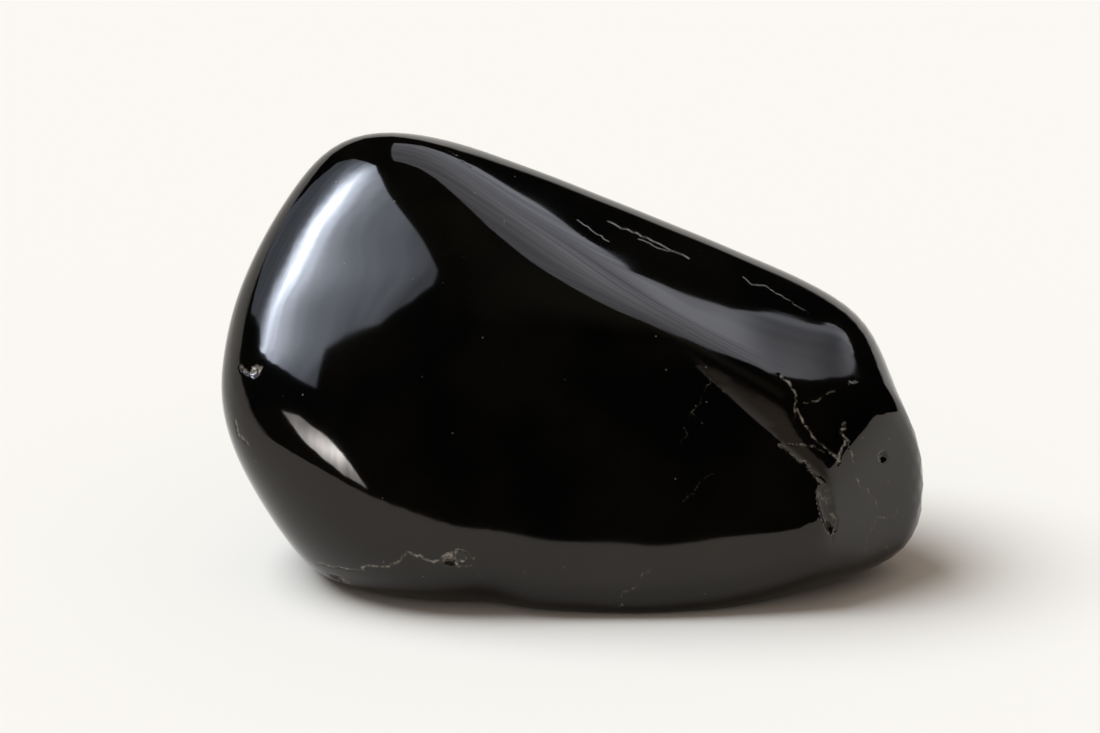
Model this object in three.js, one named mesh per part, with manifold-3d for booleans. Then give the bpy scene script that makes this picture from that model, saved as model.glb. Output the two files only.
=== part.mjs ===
// A palm-size piece of black volcanic glass, ground and polished all over into a leaning boulder.
// Millimetres, +Z up. It stands on a flat ground base, with the origin at the middle of its footprint box.
//
// The whole form is told from one point inside the stone: how far the surface reaches in each direction.
// Directions are written in the stone's own three ways, because its broad face leans back a little:
// across (to the right), up (along the leaning face) and out (straight out of the leaning face).

import * as THREE from 'three';
import { mergeVertices } from 'three/addons/utils/BufferGeometryUtils.js';
import Module from 'manifold-3d';

// The middle of the stone and the lean of its broad face.
const MIDDLE_HEIGHT = 22;
const FACE_LEAN = 18;

// The outline seen square to the broad face: the angle that each side faces, anticlockwise from
// the right in degrees, and its distance from the middle.
const SIDES = [
  [68, 20.7],
  [95, 29.8],
  [144, 38.1],
  [174, 40.1],
  [213.5, 37.7],
  [264, 27.3],
  [286, 31.1],
  [342, 45.1],
  [23, 33.9],
];
const SIDE_CRISPNESS = 15;

// How far the loaf swells to the front and to the back, and how square its shoulders are.
const FRONT_SWELL = 21.7;
const BACK_SWELL = 19;
const SHOULDER_CRISPNESS = 3.24;

// The broad ground faces: how far each one is turned to the right and tilted up, in degrees from
// straight out, and its distance from the middle.
const FACES = [
  { name: 'broad front', right: 2, up: -5, distance: 16.6 },
  { name: 'left cheek', right: -19, up: 11, distance: 21.5 },
  { name: 'lower left', right: -31, up: -24, distance: 30.6 },
  { name: 'lower middle', right: -2, up: -22, distance: 29 },
  { name: 'lower right', right: 27, up: -24, distance: 31.4 },
  { name: 'sloping top', right: 36, up: 45, distance: 18 },
  { name: 'right of the top', right: 38, up: 56, distance: 20.2 },
  { name: 'brow', right: -2, up: 22, distance: 19.2 },
  { name: 'left brow', right: 5, up: 26, distance: 22.9 },
  { name: 'right brow', right: 16, up: 30, distance: 20.9 },
  { name: 'back', right: 180, up: 6, distance: 19 },
  { name: 'back left', right: -142, up: 12, distance: 27 },
  { name: 'back right', right: 143, up: 0, distance: 27 },
  { name: 'back top', right: 171, up: 49, distance: 20 },
];
const FACE_CRISPNESS = 13.7;

// Faces that were ground last, so that their edges are still crisp.
const CRISP_FACES = [
  { name: 'right end', right: 44, up: -9, distance: 30.7 },
  { name: 'top facet', right: 39, up: 51.5, distance: 17.4 },
  { name: 'facet under the top', right: 33, up: 42, distance: 17.75 },
  { name: 'notch at the right', right: 30, up: 6, distance: 24.6 },
];
const CRISP_CRISPNESS = 70;

// A ledge runs down the right half of the front. Its flank and its bed meet in a sharp valley.
const LEDGE = [
  { name: 'flank', right: -7, up: -17, distance: 12.9 },
  { name: 'bed', right: 7, up: -1, distance: 16.9 },
];
const LEDGE_CRISPNESS = 120;

// The underside lies a little below the level of the base, so the base comes out as a clean cut.
const UNDERSIDE_DEPTH = 23.2;
const UNDERSIDE_CRISPNESS = 34;

// Soft hollows worn into the faces: where the deepest point is, which way the long side runs (degrees
// from across), its half length, its half width above and below that line, and its depth. A swell is
// a hollow of less than no depth.
const HOLLOWS = [
  { name: 'swell at the right shoulder', at: [32.8, 6, 0], turn: -65, long: 5, above: 4, below: 4,
    deep: -0.8 },
  { name: 'flat under the right shoulder', at: [37.6, -4, 0], turn: -65, long: 3.5, above: 4, below: 4,
    deep: 0.5 },
  { name: 'arch under the front', at: [-9.7, -24.5, 12.5], turn: 0, long: 4, above: 3, below: 3,
    deep: 0.8 },
];
const HOLLOW_THROUGH = 8;

// Broken places, each the mark of a ball: the spot that it hits (across, up, out), the way it faces
// in degrees, the ball's radius, how deep it bites, how much longer than wide the mark is, and which
// way its long side turns.
const CHIPS = [
  { name: 'step in the long crack', at: [28.2, -14.3, 13.4], right: 31, up: -12, ball: 1.3, bite: 0.55,
    stretch: 4, turn: -72 },
  { name: 'nick in the left rim', at: [-36, 0.3, 10.8], right: -37, up: 6, ball: 1.4, bite: 0.3,
    stretch: 1.3, turn: 60 },
  { name: 'nick above the base', at: [-26.1, -23.1, 7.5], right: -46, up: -54, ball: 1.6, bite: 0.4,
    stretch: 1.4, turn: 20 },
  { name: 'rough patch on the vein', at: [-12.8, -20.2, 14.7], right: -4, up: -18, ball: 2, bite: 0.35,
    stretch: 1.8, turn: 10 },
  { name: 'pit in the right end', at: [36.4, -9.8, 8.1], right: 47, up: -7, ball: 0.8, bite: 0.3,
    stretch: 1, turn: 0 },
];

// How finely the surface and the broken places are divided.
const STONE_DIVISIONS = 18;
const CHIP_DIVISIONS = 10;

const lean = THREE.MathUtils.degToRad(FACE_LEAN);
const middle = new THREE.Vector3(0, 0, MIDDLE_HEIGHT);
const across = new THREE.Vector3(1, 0, 0);
const up = new THREE.Vector3(0, Math.sin(lean), Math.cos(lean));
const out = new THREE.Vector3(0, -Math.cos(lean), Math.sin(lean));

// A direction or distance given as across, up, out, in the world's axes.
function inWorld([a, u, o]) {
  return new THREE.Vector3()
    .addScaledVector(across, a)
    .addScaledVector(up, u)
    .addScaledVector(out, o);
}

// The direction turned to the right and tilted up by so many degrees from straight out.
function facing(right, tilt) {
  const turned = THREE.MathUtils.degToRad(right);
  const tilted = THREE.MathUtils.degToRad(tilt);
  return inWorld([
    Math.sin(turned) * Math.cos(tilted),
    Math.sin(tilted),
    Math.cos(turned) * Math.cos(tilted),
  ]);
}

// The largest of some values, with the corners where two of them meet rounded off.
function softLargest(values, crispness) {
  let sum = 0;
  for (const value of values) {
    sum += Math.max(0, value) ** crispness;
  }
  return sum ** (1 / crispness);
}

// The smallest of some values, with the corners where two of them meet rounded off.
function softSmallest(values, crispness) {
  let sum = 0;
  for (const value of values) {
    sum += Math.max(1e-6, value) ** -crispness;
  }
  return sum ** (-1 / crispness);
}

const sideWays = SIDES.map(([angle, distance]) => {
  const turned = THREE.MathUtils.degToRad(angle);
  return { a: Math.cos(turned) / distance, u: Math.sin(turned) / distance };
});

// The way that each face looks, divided by its distance, so that a direction's share of it is one
// over the reach.
function waysOf(faces) {
  return faces.map((face) => facing(face.right, face.up).divideScalar(face.distance));
}

const faceWays = waysOf(FACES);
const crispWays = waysOf(CRISP_FACES);
const ledgeWays = waysOf(LEDGE);

// How far the ground faces let the stone reach in a direction.
function groundReach(direction) {
  const a = direction.dot(across);
  const u = direction.dot(up);
  const o = direction.dot(out);
  const outline = softLargest(sideWays.map((side) => a * side.a + u * side.u), SIDE_CRISPNESS);
  const swell = Math.abs(o) / (o > 0 ? FRONT_SWELL : BACK_SWELL);
  const loaf = softLargest([outline, swell], SHOULDER_CRISPNESS);
  const faces = faceWays.map((way) => direction.dot(way));
  const soft = softLargest([loaf, ...faces], FACE_CRISPNESS);
  const crisp = crispWays.map((way) => direction.dot(way));
  const ledge = softSmallest(ledgeWays.map((way) => direction.dot(way)), LEDGE_CRISPNESS);
  const ground = softLargest([soft, ledge, ...crisp], CRISP_CRISPNESS);
  const underside = -direction.z / UNDERSIDE_DEPTH;
  return 1 / softLargest([ground, underside], UNDERSIDE_CRISPNESS);
}

// How deep the soft hollows go at a point of the ground surface.
function hollowDepth(point) {
  let depth = 0;
  for (const { at, turn, long, above, below, deep } of HOLLOWS) {
    const a = point.dot(across) - at[0];
    const u = point.dot(up) - at[1];
    const o = point.dot(out) - at[2];
    const turned = THREE.MathUtils.degToRad(turn);
    const along = a * Math.cos(turned) + u * Math.sin(turned);
    const beside = u * Math.cos(turned) - a * Math.sin(turned);
    const width = beside > 0 ? above : below;
    depth += deep * Math.exp(-((along / long) ** 2) - (beside / width) ** 2 - (o / HOLLOW_THROUGH) ** 2);
  }
  return depth;
}

// The surface point in a direction, measured from the middle.
function surfacePoint(direction) {
  const ground = direction.clone().multiplyScalar(groundReach(direction));
  return direction.clone().multiplyScalar(ground.length() - hollowDepth(ground));
}

// A ball with its shared corners merged, ready to be shaped.
function plainBall(divisions) {
  const ball = new THREE.IcosahedronGeometry(1, divisions);
  ball.deleteAttribute('normal');
  ball.deleteAttribute('uv');
  return mergeVertices(ball, 1e-5);
}

function polishedStone() {
  const stone = plainBall(STONE_DIVISIONS);
  const corners = stone.attributes.position;
  for (let i = 0; i < corners.count; i += 1) {
    const direction = new THREE.Vector3().fromBufferAttribute(corners, i).normalize();
    const point = surfacePoint(direction).add(middle);
    corners.setXYZ(i, point.x, point.y, point.z);
  }
  return stone;
}

// The ball that knocked one chip off, lying so that it bites into the surface.
function chipBall({ at, right, up: tilt, ball, bite, stretch, turn }) {
  const spot = surfacePoint(inWorld(at).normalize()).add(middle);
  const away = facing(right, tilt);
  const level = across.clone().addScaledVector(away, -across.dot(away)).normalize();
  const long = level.applyAxisAngle(away, THREE.MathUtils.degToRad(turn));
  const short = new THREE.Vector3().crossVectors(away, long);
  const placed = new THREE.Matrix4().makeBasis(
    long.multiplyScalar(ball * stretch),
    short.multiplyScalar(ball),
    away.clone().multiplyScalar(ball),
  );
  placed.setPosition(spot.addScaledVector(away, ball - bite));
  return plainBall(CHIP_DIVISIONS).applyMatrix4(placed);
}

const wasm = await Module();
wasm.setup();

function solidFrom(geometry) {
  return new wasm.Manifold(new wasm.Mesh({
    numProp: 3,
    vertProperties: new Float32Array(geometry.attributes.position.array),
    triVerts: new Uint32Array(geometry.index.array),
  }));
}

function geometryFrom(solid) {
  const mesh = solid.getMesh();
  const geometry = new THREE.BufferGeometry();
  geometry.setAttribute('position', new THREE.BufferAttribute(new Float32Array(mesh.vertProperties), 3));
  geometry.setIndex(new THREE.BufferAttribute(new Uint32Array(mesh.triVerts), 1));
  geometry.computeVertexNormals();
  return geometry;
}

// Everything below the level of the base, which the saw takes off.
function belowTheBase() {
  const size = 200;
  const box = new THREE.BoxGeometry(size, size, size);
  box.deleteAttribute('normal');
  box.deleteAttribute('uv');
  box.translate(0, 0, -size / 2);
  return mergeVertices(box);
}

let solid = solidFrom(polishedStone());
for (const chip of CHIPS) {
  solid = solid.subtract(solidFrom(chipBall(chip)));
}
solid = solid.subtract(solidFrom(belowTheBase()));

const geometry = geometryFrom(solid);
geometry.computeBoundingBox();
const centre = geometry.boundingBox.getCenter(new THREE.Vector3());

const obsidian = new THREE.MeshStandardMaterial({ color: 0x08080a, roughness: 0.06, metalness: 0 });
const stone = new THREE.Mesh(geometry, obsidian);
stone.name = 'obsidian_stone';
stone.position.set(-centre.x, -centre.y, 0);

const chunk = new THREE.Group();
chunk.add(stone);

export default chunk;
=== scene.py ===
# %% [markdown]
# # A polished chunk of obsidian
#
# Obsidian is volcanic glass. This chunk was ground into a leaning boulder and polished until it
# mirrors the room, so almost all that we see of it is reflection. That decides how it is made:
# the curves have to be smooth and true, and the studio around it has to be laid out with care.
#
# The imported frame gives the size and the place.

# %% Open the frame
import math
import random

import bmesh
import bpy
import numpy as np
from mathutils import Matrix, Vector


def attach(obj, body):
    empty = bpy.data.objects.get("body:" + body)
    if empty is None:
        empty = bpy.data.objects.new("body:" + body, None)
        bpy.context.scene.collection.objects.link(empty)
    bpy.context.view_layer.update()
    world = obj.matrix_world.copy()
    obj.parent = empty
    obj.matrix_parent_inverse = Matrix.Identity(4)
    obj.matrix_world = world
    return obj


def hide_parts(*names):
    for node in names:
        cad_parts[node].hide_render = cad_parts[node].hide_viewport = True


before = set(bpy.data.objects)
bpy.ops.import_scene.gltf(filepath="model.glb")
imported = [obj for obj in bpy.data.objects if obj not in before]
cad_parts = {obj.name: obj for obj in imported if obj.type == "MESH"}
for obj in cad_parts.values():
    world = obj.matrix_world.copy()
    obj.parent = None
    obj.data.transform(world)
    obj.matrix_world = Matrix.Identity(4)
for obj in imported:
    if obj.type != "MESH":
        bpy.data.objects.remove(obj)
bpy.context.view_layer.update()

MM = 0.001
scene = bpy.context.scene

# %% [markdown]
# ## The stone's own three ways
#
# The broad face leans back by 18 degrees. It is easier to think in the stone's own ways than in
# the room's: across to the right, up along the leaning face, and out of the face towards us.
# Everything is told from one point inside the stone, its middle.

# %% The middle and the three ways
MIDDLE_HEIGHT = 22.0
FACE_LEAN = math.radians(18)
middle = np.array([0.0, 0.0, MIDDLE_HEIGHT])
across = np.array([1.0, 0.0, 0.0])
up = np.array([0.0, math.sin(FACE_LEAN), math.cos(FACE_LEAN)])
out = np.array([0.0, -math.cos(FACE_LEAN), math.sin(FACE_LEAN)])


def in_room(a, u, o):
    """A distance or direction given as across, up, out, in the room's axes."""
    return a * across + u * up + o * out


def facing(right, tilt):
    """The direction turned right and tilted up by so many degrees from straight out."""
    turned, tilted = math.radians(right), math.radians(tilt)
    right_share = math.sin(turned) * math.cos(tilted)
    out_share = math.cos(turned) * math.cos(tilted)
    return in_room(right_share, math.sin(tilted), out_share)


print("straight out of the face is", np.round(facing(0, 0), 2), "in the room")

# %% [markdown]
# ## The ground form
#
# A lapidary grinds one broad face after another and softens the edges between them. The same can
# be done with numbers. Each face is a plane at some distance from the middle, and in every
# direction the nearest plane decides how far the glass reaches. Taking a soft largest in place
# of a plain one rounds the edges, and leaves a surface with no seam anywhere in it, which is what
# a mirror finish needs. Sculpting by hand or subdividing a rough cage would leave ripples.
#
# A side is given by the angle at which it looks outwards, counted from the right, and by its
# distance. A face is given by how far it is turned right and tilted up, and by its distance. The
# two swells round the stone off between its sides, to the front and to the back.
#
# A few faces came last and keep crisp edges: the broken right end, the two facets of the sloping
# top and the notch. Under the top runs a ledge. It is two planes that meet in a valley, so there
# the soft smallest of the two is taken. The flank of the ledge is made rougher, and its mirror
# image is darkened as painted shade, so we also work out where that flank is.

# %% Sides and faces, in degrees and millimetres
SIDES = [
    (68, 20.7), (95, 29.8), (144, 38.1), (174, 40.1), (213.5, 37.7),
    (264, 27.3), (286, 31.1), (342, 45.1), (23, 33.9),
]
SIDE_CRISPNESS = 15
FRONT_SWELL = 21.7
BACK_SWELL = 19.0
SHOULDER_CRISPNESS = 3.24

FACES = {
    "broad front": (2, -5, 16.6),
    "left cheek": (-19, 11, 21.5),
    "lower left": (-31, -24, 30.6),
    "lower middle": (-2, -22, 29.0),
    "lower right": (27, -24, 31.4),
    "sloping top": (36, 45, 18.0),
    "right of the top": (38, 56, 20.2),
    "brow": (-2, 22, 19.2),
    "left brow": (5, 26, 22.9),
    "right brow": (16, 30, 20.9),
    "back": (180, 6, 19.0),
    "back left": (-142, 12, 27.0),
    "back right": (143, 0, 27.0),
    "back top": (171, 49, 20.0),
}
FACE_CRISPNESS = 13.7

CRISP_FACES = {
    "right end": (44, -9, 30.7),
    "top facet": (39, 51.5, 17.4),
    "facet under the top": (33, 42, 17.75),
    "notch": (30, 6, 24.6),
}
CRISP_CRISPNESS = 70

LEDGE_FLANK = (-7, -17, 12.9)
LEDGE_BED = (7, -1, 16.9)
LEDGE_CRISPNESS = 120
UNDERSIDE_DEPTH = 23.2
UNDERSIDE_CRISPNESS = 34
LEAST_CLOSENESS = 0.005


def soft_largest(values, crispness):
    """The largest of several arrays, with the corners between them rounded off."""
    total = sum(np.maximum(value, 0.0) ** crispness for value in values)
    return total ** (1.0 / crispness)


def soft_smallest(values, crispness):
    """The smallest of several arrays, with the corners between them rounded off.

    LEAST_CLOSENESS stands for a plane that the ray never meets.
    """
    total = sum(np.maximum(value, LEAST_CLOSENESS) ** -crispness for value in values)
    return total ** (-1.0 / crispness)


def closeness(directions, faces):
    """For each face, one over the distance at which each direction meets its plane."""
    return [directions @ facing(right, tilt) / distance for right, tilt, distance in faces]


def ground_reach(directions):
    """How far the ground faces let the stone reach in each direction, in millimetres."""
    a, u, o = directions @ across, directions @ up, directions @ out
    sides = []
    for angle, distance in SIDES:
        turned = math.radians(angle)
        sides.append((a * math.cos(turned) + u * math.sin(turned)) / distance)
    outline = soft_largest(sides, SIDE_CRISPNESS)
    swell = np.abs(o) / np.where(o > 0, FRONT_SWELL, BACK_SWELL)
    loaf = soft_largest([outline, swell], SHOULDER_CRISPNESS)
    soft = soft_largest([loaf, *closeness(directions, FACES.values())], FACE_CRISPNESS)
    ledge = soft_smallest(closeness(directions, (LEDGE_FLANK, LEDGE_BED)), LEDGE_CRISPNESS)
    crisp = closeness(directions, CRISP_FACES.values())
    ground = soft_largest([soft, ledge, *crisp], CRISP_CRISPNESS)
    underside = -directions[:, 2] / UNDERSIDE_DEPTH
    return 1.0 / soft_largest([ground, underside], UNDERSIDE_CRISPNESS)


FLANK_FADE = 0.02
FLANK_CLOSE = 0.97
VALLEY_STEEPNESS = 8


def on_the_flank(directions):
    """How surely each direction meets the flank of the ledge, from 0 to 1."""
    flank, bed = closeness(directions, (LEDGE_FLANK, LEDGE_BED))
    near_flank = flank * ground_reach(directions) - FLANK_CLOSE
    before_valley = (bed / flank - 1.0) * VALLEY_STEEPNESS
    return np.clip(np.minimum(near_flank, before_valley) / FLANK_FADE, 0.0, 1.0)


print("reach straight out:", np.round(ground_reach(facing(0, 0)[None]), 2), "mm")


# %% [markdown]
# ## Hollows and waves
#
# Grinding on a soft wheel leaves shallow hollows and low swells. A hollow is a soft dent with a
# place, a long side and a short side, and a swell is a hollow of less than no depth. A hollow fades
# towards the front and the back too, so the far side of the stone stays as it is. Very faint waves
# from the hand that held the stone to the wheel go over everything. Each is about a hundredth of a
# millimetre high, which is enough to bend the edges of the reflections a little.

# %% Hollows, and the waves of the polishing wheel
HOLLOWS = {
    "swell at the right shoulder": dict(at=(32.8, 6, 0), turn=-65, long=5, wide=4, deep=-0.8),
    "flat under the right shoulder": dict(at=(37.6, -4, 0), turn=-65, long=3.5, wide=4, deep=0.5),
    "arch under the front": dict(at=(-9.7, -24.5, 12.5), turn=0, long=4, wide=3, deep=0.8),
}
HOLLOW_THROUGH = 8.0


def hollow_depth(points):
    """How deep the hollows go at points of the ground surface, measured from the middle."""
    depth = np.zeros(len(points))
    for hollow in HOLLOWS.values():
        a, u, o = (points @ way - start for way, start in zip((across, up, out), hollow["at"]))
        turned = math.radians(hollow["turn"])
        along = a * math.cos(turned) + u * math.sin(turned)
        beside = u * math.cos(turned) - a * math.sin(turned)
        away = (along / hollow["long"]) ** 2 + (beside / hollow["wide"]) ** 2 + (o / HOLLOW_THROUGH) ** 2
        depth += hollow["deep"] * np.exp(-away)
    return depth


WAVE_HEIGHT = 0.012
WAVES = [(20, 10, 11.0), (-50, 35, 9.0), (75, -20, 13.0), (130, 60, 10.0), (-15, -60, 8.0)]


def wheel_waves(points):
    """The faint waves, as a few crossing ripples: way they run in degrees, and wavelength."""
    height = np.zeros(len(points))
    for count, (right, tilt, length) in enumerate(WAVES):
        height += WAVE_HEIGHT * np.sin(points @ facing(right, tilt) * 2 * math.pi / length + count)
    return height


print("hollows:", ", ".join(HOLLOWS))


# %% [markdown]
# ## Broken places
#
# Glass breaks in shells: a knock leaves the mark of a ball, smooth inside and sharp at its rim.
# So each nick is the place where a ball would bite into the surface. For a direction from the
# middle we find where the ray enters the ball, and the glass stops there. Where the knock crushed
# the glass the inside is pale too.
#
# Each nick has its place across, up and out, the way the stone faces there, the radius of its ball
# and how deep the ball bites. A ball may be stretched, along a line that is turned by so many
# degrees. Last comes how white the crushed glass is, from 0 to 1.

# %% Nicks, as the marks of balls
NICKS = {
    "shell in the notch": dict(
        at=(28.7, -6.4, 13.6), face=(24, 10), ball=24.0, bite=0.5, stretch=1.1, turn=60, white=0.0),
    "step in the long crack": dict(
        at=(28.2, -14.3, 13.4), face=(31, -12), ball=1.3, bite=0.55, stretch=4.0, turn=-72, white=0.12),
    "nick in the left rim": dict(
        at=(-36.0, 0.3, 10.8), face=(-37, 6), ball=1.0, bite=0.2, stretch=1.3, turn=60, white=0.5),
    "nick above the base": dict(
        at=(-26.1, -23.1, 7.5), face=(-46, -54), ball=1.6, bite=0.4, stretch=1.4, turn=20, white=0.3),
    "rough patch on the vein": dict(
        at=(-12.8, -20.2, 14.7), face=(-4, -18), ball=1.6, bite=0.25, stretch=1.8, turn=10, white=0.6),
    "pit in the right end": dict(
        at=(36.4, -9.8, 8.1), face=(47, -7), ball=0.8, bite=0.3, stretch=1.0, turn=0, white=0.0),
}


def one(direction):
    """A single direction as a unit row."""
    row = np.asarray(direction, float).reshape(1, 3)
    return row / np.linalg.norm(row)


def soft_surface(directions):
    """The polished surface before anything broke, measured from the middle."""
    ground = directions * ground_reach(directions)[:, None]
    reach = np.linalg.norm(ground, axis=1) - hollow_depth(ground) - wheel_waves(ground)
    return directions * reach[:, None]


def nick_ball(nick):
    """The ball of one nick: its middle, and its three half axes as rows."""
    spot = soft_surface(one(in_room(*nick["at"])))[0]
    away = facing(*nick["face"])
    level = one(across - away * (across @ away))[0]
    turned = math.radians(nick["turn"])
    long = level * math.cos(turned) + np.cross(away, level) * math.sin(turned)
    short = np.cross(away, long)
    axes = np.array([long * nick["ball"] * nick["stretch"], short * nick["ball"], away * nick["ball"]])
    return spot + away * (nick["ball"] - nick["bite"]), axes


def ball_reach(directions, ball):
    """How far each ray runs from the middle before it enters the ball, or infinity if it misses."""
    centre, axes = ball
    lengths = np.linalg.norm(axes, axis=1)
    to_ball = (axes / lengths[:, None] ** 2).T
    ray = directions @ to_ball
    start = -centre @ to_ball
    square = (ray**2).sum(1)
    half = ray @ start
    inside = half**2 - square * (start @ start - 1.0)
    entry = (-half - np.sqrt(np.maximum(inside, 0.0))) / square
    return np.where((inside > 0) & (entry > 0), entry, np.inf)


balls = {name: nick_ball(nick) for name, nick in NICKS.items()}
print("nicks:", ", ".join(balls))

# %% [markdown]
# ## Cracks
#
# Old cracks reach the surface as thin, jagged, whitish lines, because crushed glass scatters
# light. Each is a short chain of points, given as degrees right and up seen from the middle. Its
# depth and its width to either side are in millimetres. A seeded random kink between the points
# makes them jagged the same way on every run. They are cut as real grooves, and the same distance
# to the chain later tells the material where the glass is crushed.

# %% The crack chains
CRACKS = {
    "left vein": dict(width=0.09, deep=0.12, white=0.8, chain=[
        (-75, -36), (-66, -39), (-57, -41), (-53, -41), (-51, -40), (-48, -43), (-44, -45),
        (-39, -45), (-36, -48),
    ]),
    "left vein tail": dict(width=0.07, deep=0.1, white=0.7, chain=[
        (-44, -45), (-41, -48), (-37, -50), (-36, -53),
    ]),
    "left rim": dict(width=0.1, deep=0.15, white=0.6, chain=[
        (-77, -8), (-77, -10), (-75, -12),
    ]),
    "left rim upper": dict(width=0.12, deep=0.15, white=0.9, chain=[
        (-76, 1), (-75, 0), (-73, 0),
    ]),
    "low right vein": dict(width=0.06, deep=0.06, white=0.35, chain=[
        (31, -52), (28, -55), (24, -58), (21, -64),
    ]),
    "front hair": dict(width=0.04, deep=0.02, white=0.2, chain=[
        (44.5, -2), (43, -6), (40, -12), (37, -22),
    ]),
    "front hair branch": dict(width=0.04, deep=0.02, white=0.2, chain=[
        (40, -12), (43, -15),
    ]),
    "front hair low": dict(width=0.04, deep=0.02, white=0.15, chain=[
        (46, -27), (42.5, -31), (39, -36),
    ]),
    "notch left": dict(width=0.1, deep=0.12, white=0.8, chain=[
        (58.6, -0.5), (59, -3.5), (60, -6), (59, -10),
    ]),
    "notch main": dict(width=0.09, deep=0.1, white=1.0, chain=[
        (60, -8), (61, -10), (62, -12), (63, -13.5), (65, -15.7), (67, -17),
    ]),
    "notch right": dict(width=0.09, deep=0.1, white=0.9, chain=[
        (68.6, -9.7), (67.7, -11.8), (68.2, -13.7), (67, -15.6), (66.6, -17.5),
    ]),
    "notch spur": dict(width=0.07, deep=0.08, white=0.8, chain=[
        (68, -12.4), (69.5, -14.4), (70.5, -16.6),
    ]),
    "notch upper": dict(width=0.06, deep=0.06, white=0.6, chain=[
        (61.7, -6.5), (63.7, -6), (66.8, -4), (68, -3.6),
    ]),
    "notch top": dict(width=0.06, deep=0.06, white=0.7, chain=[
        (72.3, -2.2), (74.7, -1.2),
    ]),
    "notch foot": dict(width=0.07, deep=0.08, white=0.6, chain=[
        (59, -15.6), (60.3, -15.2), (62.4, -15), (64, -16),
    ]),
    "long crack": dict(width=0.12, deep=0.2, white=0.7, chain=[
        (58, -16.6), (60, -18), (62, -19), (63, -21), (65.3, -24.4), (68.4, -28), (68, -31),
    ]),
    "right scuffs": dict(width=0.06, deep=0.05, white=0.5, chain=[
        (71.6, -19.3), (74, -20.7), (76.7, -21.7), (78.5, -23.2),
    ]),
    "right low": dict(width=0.06, deep=0.06, white=0.4, chain=[
        (84, -21.6), (83, -23.7), (79, -25), (78, -27.7), (77.4, -30.6),
    ]),
    "top vein": dict(width=0.09, deep=0.1, white=0.5, chain=[
        (39, 69), (46.5, 65), (58, 61.5), (65.6, 53.4), (71, 45.5), (71.6, 43),
    ]),
    "top vein low": dict(width=0.06, deep=0.06, white=0.35, chain=[
        (53, 58), (59, 53), (66.6, 48.6),
    ]),
    "top line": dict(width=0.05, deep=0.04, white=0.25, chain=[
        (4, 65), (14, 61), (24, 56),
    ]),
    "top left line": dict(width=0.04, deep=0.03, white=0.25, chain=[
        (-65, 58), (-60, 58.7), (-55, 59),
    ]),
    "brow end": dict(width=0.06, deep=0.06, white=0.4, chain=[
        (82.6, 29), (81, 25.8), (85, 24), (84, 21), (84.5, 18), (83.6, 14),
    ]),
}
KINKS_PER_LINK = 4
KINK = 0.11
dice = random.Random(11)


def kinked(chain):
    """A chain's points on the surface, with small random kinks between them."""
    ends = [soft_surface(one(facing(*point)))[0] for point in chain]
    points = [ends[0]]
    for start, end in zip(ends, ends[1:]):
        for step in range(1, KINKS_PER_LINK + 1):
            share = step / KINKS_PER_LINK
            point = start + (end - start) * share
            if step < KINKS_PER_LINK:
                length = float(np.linalg.norm(end - start))
                point = point + np.array([dice.uniform(-1, 1) for _ in range(3)]) * KINK * length
            points.append(soft_surface(one(point))[0])
    return points


def chain_distance(points, chain):
    """The distance from each point to the nearest link of a chain."""
    nearest = np.full(len(points), np.inf)
    for start, end in zip(chain, chain[1:]):
        link = end - start
        share = np.clip((points - start) @ link / (link @ link), 0, 1)
        nearest = np.minimum(nearest, np.linalg.norm(points - start - share[:, None] * link, axis=1))
    return nearest


cracks = []
for crack in CRACKS.values():
    cracks.append((kinked(crack["chain"]), crack["width"], crack["deep"], crack["white"]))
print("cracks:", len(cracks), "with", sum(len(chain) for chain, *_ in cracks), "points")

# %% [markdown]
# ## One surface
#
# Now all of it comes together. The polished surface comes first, then the grooves of the cracks
# are taken off it, and where a ray enters the ball of a nick before it reaches the surface, the
# glass stops there. How crushed the glass is comes out of the same step, so the pale lines lie
# exactly in the grooves.

# %% The whole surface
def whole_surface(directions):
    """The finished surface measured from the middle, and how crushed the glass is."""
    points = soft_surface(directions)
    reach = np.linalg.norm(points, axis=1)
    crushed = np.zeros(len(points))
    groove = np.zeros(len(points))
    for chain, width, deep, white in cracks:
        spread = np.exp(-((chain_distance(points, chain) / width) ** 2))
        groove = np.maximum(groove, deep * spread)
        crushed = np.maximum(crushed, white * spread)
    bitten = np.full(len(points), np.inf)
    for name, ball in balls.items():
        entry = ball_reach(directions, ball)
        crushed = np.maximum(crushed, np.where(entry < reach, NICKS[name]["white"], 0.0))
        bitten = np.minimum(bitten, entry)
    reach = np.minimum(reach - groove, bitten)
    return directions * reach[:, None], crushed


front_point, _ = whole_surface(one(facing(0, 0)))
print("straight out the finished glass lies at", np.round(front_point[0], 2), "mm from the middle")

# %% [markdown]
# ## The mesh
#
# A ball of nearly equal triangles is blown out to the surface. Where a crack or a nick runs, the
# triangles are halved a few times first, because a groove a tenth or two of a millimetre across
# would fall between them. Each halving has a margin round the cracks and one round the nicks, in
# millimetres, and the first also takes in the edge of the foot. The foot of the stone is flat:
# whatever would reach below the floor is slid back along its own ray until it lies on the floor.

# %% Build the stone
BALL_HALVINGS = 6
FINE_STEPS = [(1.6, 1.2), (0.8, 0.6), (0.35, 0.0)]


def near_detail(points, nick_margin, crack_margin, with_foot):
    """Which points are close enough to a nick, a crack or the foot's edge to need finer triangles."""
    close = np.zeros(len(points), bool)
    for centre, axes in balls.values():
        lengths = np.linalg.norm(axes, axis=1)
        reach = (points - centre) @ (axes / (lengths * (lengths + nick_margin))[:, None]).T
        close |= (reach**2).sum(1) < 1
    for chain, width, *_ in cracks:
        close |= chain_distance(points, chain) < width + crack_margin
    if with_foot:
        close |= np.abs(points[:, 2] + MIDDLE_HEIGHT) < crack_margin
    return close


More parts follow.
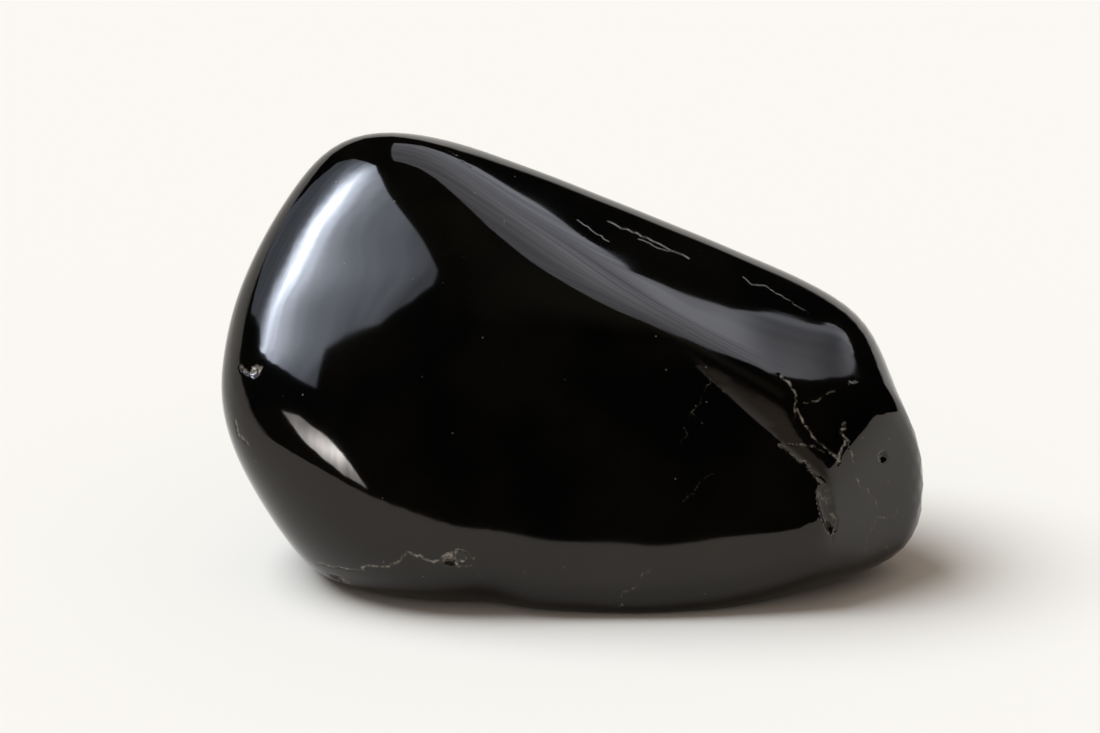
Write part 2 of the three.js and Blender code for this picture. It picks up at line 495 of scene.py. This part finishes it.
def stone_mesh():
    """A ball of triangles, halved where a crack or a nick will run."""
    bm = bmesh.new()
    bmesh.ops.create_icosphere(bm, subdivisions=BALL_HALVINGS, radius=1.0)
    for step, (crack_margin, nick_margin) in enumerate(FINE_STEPS):
        centres = np.array([face.calc_center_median() for face in bm.faces])
        centres = centres / np.linalg.norm(centres, axis=1)[:, None]
        chosen = near_detail(soft_surface(centres), nick_margin, crack_margin, step == 0)
        edges = {edge for face, take in zip(bm.faces, chosen) if take for edge in face.edges}
        bmesh.ops.subdivide_edges(bm, edges=list(edges), cuts=1, use_grid_fill=True)
        bmesh.ops.triangulate(bm, faces=bm.faces[:])
    mesh = bpy.data.meshes.new("obsidian stone")
    bm.to_mesh(mesh)
    bm.free()
    return mesh


mesh = stone_mesh()
corners = np.zeros(len(mesh.vertices) * 3)
mesh.vertices.foreach_get("co", corners)
directions = corners.reshape(-1, 3)
directions = directions / np.linalg.norm(directions, axis=1)[:, None]
reached, crushed = whole_surface(directions)
sunk = np.maximum(1.0, -reached[:, 2] / MIDDLE_HEIGHT)
placed = (reached / sunk[:, None] + middle) * MM
low, high = placed.min(0), placed.max(0)
placed[:, :2] -= (low[:2] + high[:2]) / 2
mesh.vertices.foreach_set("co", placed.ravel())
mesh.update()
print("triangles:", len(mesh.polygons), "size in mm:", np.round((high - low) / MM, 2))

# %% [markdown]
# ## The piece in the frame
#
# The chunk has no moving part, so it rides on the root body and takes the place of the whole CAD
# solid. Smooth shading keeps the triangles out of the mirror image. Two numbers go along with every
# point for the material: how crushed the glass is, and how surely the point lies on the ledge
# flank, where the mirror image is darkened as painted shade.

# %% The stone as a piece of the frame
stone = bpy.data.objects.new("obsidian_chunk", mesh)
scene.collection.objects.link(stone)
mesh.polygons.foreach_set("use_smooth", [True] * len(mesh.polygons))
crush_layer = mesh.attributes.new("crushed", "FLOAT", "POINT")
crush_layer.data.foreach_set("value", crushed)
# The second number marks the ledge flank: rougher there, and its mirror image darkened as painted shade.
dull_shaded_flank_layer = mesh.attributes.new("dull_shaded_flank", "FLOAT", "POINT")
dull_shaded_flank_layer.data.foreach_set("value", on_the_flank(directions))
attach(stone, "root")
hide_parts("obsidian_stone")
shift = Vector((-(low[0] + high[0]) / 2, -(low[1] + high[1]) / 2, 0.0))
print("the stone is moved by", [round(value / MM, 2) for value in shift], "mm to stand on the origin")

# %% [markdown]
# ## The glass
#
# Obsidian is black because of the fine specks of iron oxide in it. Its surface mirrors a few
# hundredths of the light that falls straight on it, and far more at a glancing angle. The
# Principled shader does that by itself from the index of refraction. What has to be added is what
# the polish left: faint smears, a few open pits, and the pale crushed glass of the cracks. The
# flank of the ledge is made rougher, and its mirror image is darkened and browned as painted
# shade. The base colour of so dark a glass can't do that, so the Specular Tint is mixed by the
# flank number.

# %% A group for what the polish left
PER_METRE = 1000.0
PIT_RARITY = 0.92
PIT_RADIUS = 0.12
PIT_SHARPNESS = 8.0


def new_group(name, inputs, outputs):
    """An empty node group with named number inputs, and named outputs of the given kinds."""
    group = bpy.data.node_groups.new(name, "ShaderNodeTree")
    for label, value in inputs.items():
        socket = group.interface.new_socket(label, in_out="INPUT", socket_type="NodeSocketFloat")
        socket.default_value = value
    for label, kind in outputs.items():
        group.interface.new_socket(label, in_out="OUTPUT", socket_type=kind)
    return group, group.nodes.new("NodeGroupInput"), group.nodes.new("NodeGroupOutput")


def noise(tree, place, scale, detail, roughness, distortion=0.0):
    """A cloud of noise at a place; place and scale are sockets, or scale is a number."""
    node = tree.nodes.new("ShaderNodeTexNoise")
    tree.links.new(place, node.inputs["Vector"])
    if isinstance(scale, (int, float)):
        node.inputs["Scale"].default_value = scale
    else:
        tree.links.new(scale, node.inputs["Scale"])
    node.inputs["Detail"].default_value = detail
    node.inputs["Roughness"].default_value = roughness
    node.inputs["Distortion"].default_value = distortion
    return node.outputs["Fac"]


def ramp(tree, value, start, end, low=0.0, high=1.0):
    """A number that goes from low to high while value goes from start to end."""
    node = tree.nodes.new("ShaderNodeMapRange")
    node.inputs["From Min"].default_value = start
    node.inputs["From Max"].default_value = end
    node.inputs["To Min"].default_value = low
    node.inputs["To Max"].default_value = high
    tree.links.new(value, node.inputs["Value"])
    return node.outputs["Result"]


def math_node(tree, operation, first, second=0.0):
    """A Math node; each side is a number or an output socket."""
    node = tree.nodes.new("ShaderNodeMath")
    node.operation = operation
    for socket, value in zip(node.inputs, (first, second)):
        if isinstance(value, (int, float)):
            socket.default_value = value
        else:
            tree.links.new(value, socket)
    return node.outputs[0]


def polish_marks():
    """Smears as a rise in roughness, and open pits as a mask and a height."""
    group, given, result = new_group(
        "polish marks",
        {"Smear Size": 9.0, "Smear": 0.03, "Pit Size": 1.1, "Pits": 0.5},
        {"Smear": "NodeSocketFloat", "Pit": "NodeSocketFloat"},
    )
    place = group.nodes.new("ShaderNodeTexCoord")
    smear_scale = math_node(group, "DIVIDE", PER_METRE, given.outputs["Smear Size"])
    cloud = noise(group, place.outputs["Object"], smear_scale, detail=5.0, roughness=0.6, distortion=1.5)
    smear = math_node(group, "MULTIPLY", cloud, given.outputs["Smear"])
    group.links.new(smear, result.inputs["Smear"])

    pit_scale = math_node(group, "DIVIDE", PER_METRE, given.outputs["Pit Size"])
    cells = group.nodes.new("ShaderNodeTexVoronoi")
    group.links.new(place.outputs["Object"], cells.inputs["Vector"])
    group.links.new(pit_scale, cells.inputs["Scale"])
    draw = group.nodes.new("ShaderNodeSeparateColor")
    group.links.new(cells.outputs["Color"], draw.inputs["Color"])
    chosen = math_node(group, "GREATER_THAN", draw.outputs["Red"], PIT_RARITY)
    spot = math_node(group, "SUBTRACT", PIT_RADIUS, cells.outputs["Distance"])
    spot = math_node(group, "MAXIMUM", spot, 0.0)
    spot = math_node(group, "MULTIPLY", spot, PIT_SHARPNESS)
    spot = math_node(group, "MULTIPLY", spot, chosen)
    spot = math_node(group, "MULTIPLY", spot, given.outputs["Pits"])
    group.links.new(spot, result.inputs["Pit"])
    return group


marks = polish_marks()
print("group:", marks.name, [item.name for item in marks.interface.items_tree])

# %% The polished glass
GLASS_BLACK = (0.0012, 0.0012, 0.0012, 1.0)
GLASS_BROWN = (0.0042, 0.0036, 0.0024, 1.0)
CRUSHED_PALE = (0.33, 0.30, 0.26, 1.0)
POLISH_ROUGHNESS = 0.035
CRUSHED_ROUGHNESS = 0.5
FLANK_ROUGHNESS = 0.2
POLISH_TINT = (0.86, 0.80, 0.75, 1.0)
# The flank's darker, browner tint is painted shade in the mirror image.
FLANK_PAINTED_SHADE_TINT = (0.42, 0.34, 0.28, 1.0)
GLASS_IOR = 1.5
HAZE_SIZE = 14.0
HAZE_FROM = 0.45
HAZE_TO = 0.75
GRAIN_SIZE = 0.9
GRAIN_FROM = 0.46
GRAIN_TO = 0.66
LEAST_PALE = 0.06
MOST_PALE = 1.5


def colour_mix(tree, share, first, second):
    """A colour mix; share is a socket, and each colour a value or a socket."""
    # The Mix node keeps its two colours in inputs 6 and 7, and the mixed one in output 2.
    node = tree.nodes.new("ShaderNodeMix")
    node.data_type = "RGBA"
    tree.links.new(share, node.inputs[0])
    for socket, value in ((node.inputs[6], first), (node.inputs[7], second)):
        if isinstance(value, tuple):
            socket.default_value = value
        else:
            tree.links.new(value, socket)
    return node.outputs[2]


def polished_glass():
    """Black glass with haze, polish marks and crushed cracks, and a rougher ledge flank with painted shade
    in its mirror image.
    """
    material = bpy.data.materials.new("polished obsidian")
    material.use_nodes = True
    tree = material.node_tree
    shader = tree.nodes["Principled BSDF"]
    shader.inputs["IOR"].default_value = GLASS_IOR
    place = tree.nodes.new("ShaderNodeTexCoord").outputs["Object"]
    haze = noise(tree, place, PER_METRE / HAZE_SIZE, detail=4.0, roughness=0.55)
    haze = ramp(tree, haze, HAZE_FROM, HAZE_TO)
    left_by_polish = tree.nodes.new("ShaderNodeGroup")
    left_by_polish.node_tree = marks
    crush = tree.nodes.new("ShaderNodeAttribute")
    crush.attribute_name = "crushed"
    grain = noise(tree, place, PER_METRE / GRAIN_SIZE, detail=3.0, roughness=0.7)
    speckle = ramp(tree, grain, GRAIN_FROM, GRAIN_TO, LEAST_PALE, MOST_PALE)
    pale = math_node(tree, "MULTIPLY", crush.outputs["Fac"], speckle)
    pale = math_node(tree, "MINIMUM", pale, 1.0)
    pale = math_node(tree, "MAXIMUM", pale, left_by_polish.outputs["Pit"])
    deep = colour_mix(tree, haze, GLASS_BLACK, GLASS_BROWN)
    colour = colour_mix(tree, pale, deep, CRUSHED_PALE)
    tree.links.new(colour, shader.inputs["Base Color"])
    rough = math_node(tree, "ADD", left_by_polish.outputs["Smear"], POLISH_ROUGHNESS)
    crushed_rough = math_node(tree, "MULTIPLY", pale, CRUSHED_ROUGHNESS)
    rough = math_node(tree, "ADD", rough, crushed_rough)
    # The ledge flank is rougher, and the Specular Tint darkens and browns its mirror image there: painted
    # shade.
    dull_shaded_flank = tree.nodes.new("ShaderNodeAttribute")
    dull_shaded_flank.attribute_name = "dull_shaded_flank"
    flank_rough = math_node(tree, "MULTIPLY", dull_shaded_flank.outputs["Fac"], FLANK_ROUGHNESS)
    rough = math_node(tree, "ADD", rough, flank_rough)
    tint = colour_mix(tree, dull_shaded_flank.outputs["Fac"], POLISH_TINT, FLANK_PAINTED_SHADE_TINT)
    tree.links.new(tint, shader.inputs["Specular Tint"])
    tree.links.new(rough, shader.inputs["Roughness"])
    return material


mesh.materials.append(polished_glass())
print("material:", mesh.materials[0].name, "with", len(mesh.materials[0].node_tree.nodes), "nodes")

# %% [markdown]
# ## The studio
#
# A mirror shows its surroundings, so the lights are what gives the stone its form. One soft box
# stands at the left and shines on the left cheek, with hot lamps behind its cloth. A long dim
# one hangs overhead and draws the band along the sloping top, and a small lamp stands low at the
# left. Their cloths are cut to odd shapes, since the shape of a cloth is what the glass shows. A
# lamp of less than no strength darkens its part of a cloth. The boxes are seen only in the glass.
# A wide key light gives the floor its light and its shadow.
#
# The floor is pale. In the glass the room is dark in front of the stone, apart from a dim patch of
# ceiling, and a pale sweep stands behind it, which lights the rims at a glancing angle.

# %% The floor
FLOOR_REACH = 2.0
FLOOR_PALE = (0.80, 0.80, 0.80, 1.0)
FLOOR_ROUGHNESS = 0.9


def flat_sheet(name, width, height):
    """A flat rectangle about its own middle."""
    sheet = bpy.data.meshes.new(name)
    w, h = width / 2, height / 2
    sheet.from_pydata([(-w, -h, 0), (w, -h, 0), (w, h, 0), (-w, h, 0)], [], [(0, 1, 2, 3)])
    thing = bpy.data.objects.new(name, sheet)
    scene.collection.objects.link(thing)
    return thing


floor = flat_sheet("floor", 2 * FLOOR_REACH, 2 * FLOOR_REACH)
floor_paint = bpy.data.materials.new("pale floor")
floor_paint.use_nodes = True
floor_shader = floor_paint.node_tree.nodes["Principled BSDF"]
floor_shader.inputs["Base Color"].default_value = FLOOR_PALE
floor_shader.inputs["Roughness"].default_value = FLOOR_ROUGHNESS
floor_shader.inputs["Specular IOR Level"].default_value = 0.0
floor.data.materials.append(floor_paint)
print("floor:", 2 * FLOOR_REACH, "m square")

# %% The soft boxes
BOX_DISTANCE = 0.6
AIMED_AT = Vector((0.0, 0.0, 0.03))
FOLD_SCALE = (22.0, 2.5, 1.0)
FOLD_SHADE = 0.3
FOLD_FROM = 0.3
FOLD_TO = 0.7


def glowing(name, strength, tint, lamps):
    """A glowing cloth with soft folds. A lamp behind it has a strength, and a place and spread in metres."""
    material = bpy.data.materials.new(name)
    material.use_nodes = True
    tree = material.node_tree
    tree.nodes.clear()
    result = tree.nodes.new("ShaderNodeOutputMaterial")
    glow = tree.nodes.new("ShaderNodeEmission")
    glow.inputs["Color"].default_value = tint
    tree.links.new(glow.outputs[0], result.inputs[0])
    place = tree.nodes.new("ShaderNodeTexCoord").outputs["Object"]
    total = strength
    for power, middle_of_lamp, spread in lamps:
        moved = tree.nodes.new("ShaderNodeMapping")
        moved.inputs["Location"].default_value = [-m / s for m, s in zip(middle_of_lamp, spread)] + [0]
        moved.inputs["Scale"].default_value = [1 / s for s in spread] + [0]
        tree.links.new(place, moved.inputs["Vector"])
        away = tree.nodes.new("ShaderNodeVectorMath")
        away.operation = "LENGTH"
        tree.links.new(moved.outputs["Vector"], away.inputs[0])
        square = math_node(tree, "POWER", away.outputs["Value"], 2.0)
        fall = math_node(tree, "EXPONENT", math_node(tree, "MULTIPLY", square, -1.0))
        total = math_node(tree, "ADD", math_node(tree, "MULTIPLY", fall, power), total)
    stretched = tree.nodes.new("ShaderNodeMapping")
    stretched.inputs["Scale"].default_value = FOLD_SCALE
    tree.links.new(place, stretched.inputs["Vector"])
    folds = noise(tree, stretched.outputs["Vector"], 1.0, detail=3.0, roughness=0.6)
    shade = ramp(tree, folds, FOLD_FROM, FOLD_TO, 1.0 - FOLD_SHADE, 1.0 + FOLD_SHADE)
    total = math_node(tree, "MULTIPLY", total, shade)
    tree.links.new(total, glow.inputs["Strength"])
    return material


def soft_box(name, towards, corners, material):
    """A glowing sheet that stands off in one direction. Its corners are in millimetres."""
    way = Vector(towards).normalized()
    side = Vector((0, 0, 1)).cross(way).normalized()
    rise = way.cross(side)
    sheet = bpy.data.meshes.new(name)
    sheet.from_pydata([(x * MM, y * MM, 0) for x, y in corners], [], [range(len(corners))])
    box = bpy.data.objects.new(name, sheet)
    scene.collection.objects.link(box)
    turned = Matrix((side, rise, way)).transposed().to_4x4()
    box.matrix_world = Matrix.Translation(AIMED_AT + way * BOX_DISTANCE) @ turned
    sheet.materials.append(material)
    box.visible_camera = False
    box.visible_diffuse = False
    box.visible_shadow = False
    return box


LEFT_CORNERS = [
    (-470, -115), (-290, 10), (-200, 140), (-125, 195), (55, 250), (185, 190), (270, 175), (305, 160),
    (325, 120), (315, 45), (275, -40), (215, -85), (195, -105), (235, -165), (145, -175), (-15, -200),
    (-185, -245), (-280, -195), (-410, -160),
]
TOP_CORNERS = [
    (-40, 360), (400, 180), (550, -40), (640, -200), (570, -240), (480, -245), (345, -230),
    (345, -285), (380, -315), (430, -335), (455, -340), (440, -385), (370, -420), (330, -385),
    (275, -335), (210, -305), (35, -240), (-120, -170), (-420, -80), (-700, 0), (-530, 60),
    (-400, 105), (-300, 150), (-200, 220), (-80, 210), (-50, 245),
]
LOW_CORNERS = [(-150, 70), (-100, 85), (10, 40), (120, -35), (205, -95), (85, -85), (5, -60), (-70, -20)]
LEFT_LAMPS = [
    (40.0, (0.070, -0.02), (0.05, 0.17)),
    (6.5, (0.10, 0.10), (0.13, 0.28)),
]
TOP_LAMPS = [
    (0.7, (0.33, -0.25), (0.20, 0.06)),
    (1.2, (0.0, -0.05), (0.25, 0.12)),
    (-1.1, (0.31, -0.335), (0.10, 0.035)),
]
LOW_LAMPS = [(18.0, (0.05, 0.0), (0.12, 0.05))]
BOXES = {
    "left box": dict(
        way=(-0.741, -0.218, 0.703), corners=LEFT_CORNERS,
        glow=1.2, tint=(0.70, 0.81, 1.0, 1.0), lamps=LEFT_LAMPS),
    "top box": dict(
        way=(0.3, 0.05, 0.95), corners=TOP_CORNERS,
        glow=1.6, tint=(0.84, 0.88, 1.0, 1.0), lamps=TOP_LAMPS),
    "low lamp": dict(
        way=(-0.68, -0.72, 0.16), corners=LOW_CORNERS,
        glow=3.5, tint=(0.97, 0.98, 1.0, 1.0), lamps=LOW_LAMPS),
}
for name, box in BOXES.items():
    cloth = glowing(name + " cloth", box["glow"], box["tint"], box["lamps"])
    soft_box(name, box["way"], box["corners"], cloth)
    print(name, "with", len(box["corners"]), "corners and", len(box["lamps"]), "lamps")

# %% The key light that the floor gets
KEY_STRENGTH = 3.3
KEY_TINT = (0.966, 1.0, 1.0)
KEY_WIDTH = math.radians(44)
KEY_WAY = Vector((-0.54, 0.12, 0.84))
key_light = bpy.data.lights.new("key", "SUN")
key_light.energy = KEY_STRENGTH
key_light.color = KEY_TINT
key_light.angle = KEY_WIDTH
key = bpy.data.objects.new("key", key_light)
scene.collection.objects.link(key)
key.rotation_euler = KEY_WAY.to_track_quat("Z", "Y").to_euler()
key.visible_glossy = False
print("key light:", key_light.energy, "at", round(math.degrees(key_light.angle)), "degrees wide")

# %% The room
ROOM_PALE = (0.9, 0.87, 0.83, 1.0)
ROOM_FILL = (0.36, 0.30, 0.245, 1.0)
ROOM_SEEN = (0.965, 0.94, 0.895, 1.0)
CEILING_DIM = (0.10, 0.10, 0.075, 1.0)
CEILING_WAY = (0.22, -0.62, 0.75)
ROOM_DARK = (0.002, 0.002, 0.002, 1.0)
CEILING_FROM = 0.88
CEILING_TO = 0.98
SWEEP_LEAN = (0.25, -0.55, 1.0)
SWEEP_FROM = 0.02
SWEEP_TO = -0.05


def along(tree, place, way):
    """How far the direction that is looked in runs along one way."""
    node = tree.nodes.new("ShaderNodeVectorMath")
    node.operation = "DOT_PRODUCT"
    node.inputs[1].default_value = way
    tree.links.new(place, node.inputs[0])
    return node.outputs["Value"]


def room():
    """Pale to the eye and the floor; in the glass dark, with a dim ceiling and a pale sweep behind."""
    world = bpy.data.worlds.new("studio")
    scene.world = world
    world.use_nodes = True
    tree = world.node_tree
    place = tree.nodes.new("ShaderNodeTexCoord").outputs["Generated"]
    sweep = ramp(tree, along(tree, place, SWEEP_LEAN), SWEEP_FROM, SWEEP_TO)
    ceiling = ramp(tree, along(tree, place, CEILING_WAY), CEILING_FROM, CEILING_TO)
    overhead = colour_mix(tree, ceiling, ROOM_DARK, CEILING_DIM)
    mirrored = colour_mix(tree, sweep, overhead, ROOM_PALE)
    path = tree.nodes.new("ShaderNodeLightPath")
    plain = colour_mix(tree, path.outputs["Is Camera Ray"], ROOM_FILL, ROOM_SEEN)
    seen = colour_mix(tree, path.outputs["Is Glossy Ray"], plain, mirrored)
    tree.links.new(seen, tree.nodes["Background"].inputs["Color"])
    # The room is nearly even, so its light needs no importance map.
    world.cycles.sampling_method = "NONE"


room()
print("room:", scene.world.name)

# %% [markdown]
# ## The camera
#
# The eye looks square at the leaning face, from about thirty centimetres, through a long lens,
# so the outline keeps its true proportions.

# %% The camera
CAMERA_DISTANCE = 0.314
CAMERA_LENS = 90
SENSOR_WIDTH = 36
FARTHEST_SEEN = 100
AIM_FROM_MIDDLE = (-2.45, 0.70, 0.0)
aim = middle + in_room(*AIM_FROM_MIDDLE)
camera_data = bpy.data.cameras.new("camera")
camera_data.lens = CAMERA_LENS
camera_data.sensor_width = SENSOR_WIDTH
camera_data.clip_end = FARTHEST_SEEN
camera = bpy.data.objects.new("camera", camera_data)
scene.collection.objects.link(camera)
turned = Matrix([Vector(across), Vector(up), Vector(out)]).transposed().to_4x4()
turned.translation = Vector(aim) * MM + Vector(out) * CAMERA_DISTANCE + shift
camera.matrix_world = turned
scene.camera = camera
scene.view_settings.view_transform = "Standard"
print("camera:", CAMERA_LENS, "mm lens at", CAMERA_DISTANCE, "m")
